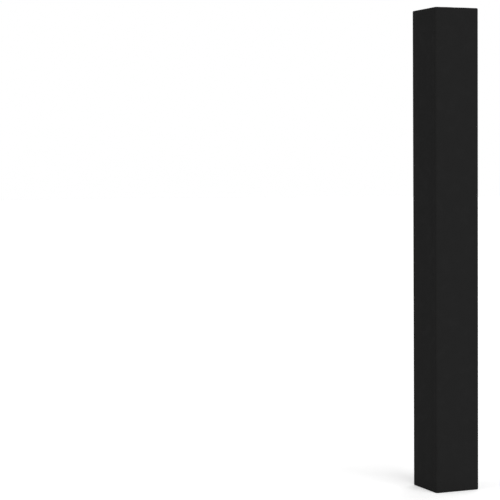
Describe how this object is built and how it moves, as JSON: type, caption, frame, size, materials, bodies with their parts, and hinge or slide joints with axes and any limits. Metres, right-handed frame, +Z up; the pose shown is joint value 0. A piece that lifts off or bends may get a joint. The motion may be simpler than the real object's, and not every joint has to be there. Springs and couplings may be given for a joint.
{
  "type": "basketball pole pad",
  "caption": "Tall square wrap-round safety pad for a basketball post: mitred foam boards in a folding coated-cloth cover, closed by a hook and loop flap.",
  "frame": {"origin": "on the ground under the middle of the post, at the pad's bottom centre", "axes": "+Z up along the post, -Y out of the front panel, -X out of the left panel; the closing flap lies on the +Y face at its +X edge"},
  "size_m": [0.202, 0.2069, 2],
  "materials": {
    "cover": "matte",
    "foam": "matte",
    "lining": "matte",
    "hook_tape": "matte",
    "loop_tape": "matte"
  },
  "bodies": {
    "front": {"front_cover": "cover", "front_foam": "foam", "front_lining": "lining"},
    "left": {"left_cover": "cover", "left_foam": "foam", "left_lining": "lining"},
    "back": {"back_cover": "cover", "back_foam": "foam", "back_lining": "lining", "loop_tape": "loop_tape"},
    "right": {"right_cover": "cover", "right_foam": "foam", "right_lining": "lining"},
    "flap": {"closure_flap": "cover", "hook_tape": "hook_tape"}
  },
  "joints": [
    {"name": "left_fold", "type": "hinge", "parent": "front", "child": "left", "pos_m": [-0.0985, -0.0985, 1], "axis": [0, 0, 1], "range_deg": [0, 90]},
    {"name": "back_fold", "type": "hinge", "parent": "left", "child": "back", "pos_m": [-0.0985, 0.0985, 1], "axis": [0, 0, 1], "range_deg": [0, 90]},
    {"name": "right_fold", "type": "hinge", "parent": "front", "child": "right", "pos_m": [0.0985, -0.0985, 1], "axis": [0, 0, -1], "range_deg": [0, 90]},
    {"name": "flap_fold", "type": "hinge", "parent": "right", "child": "flap", "pos_m": [0.0985, 0.0985, 1], "axis": [0, 0, -1], "range_deg": [0, 180]}
  ]
}
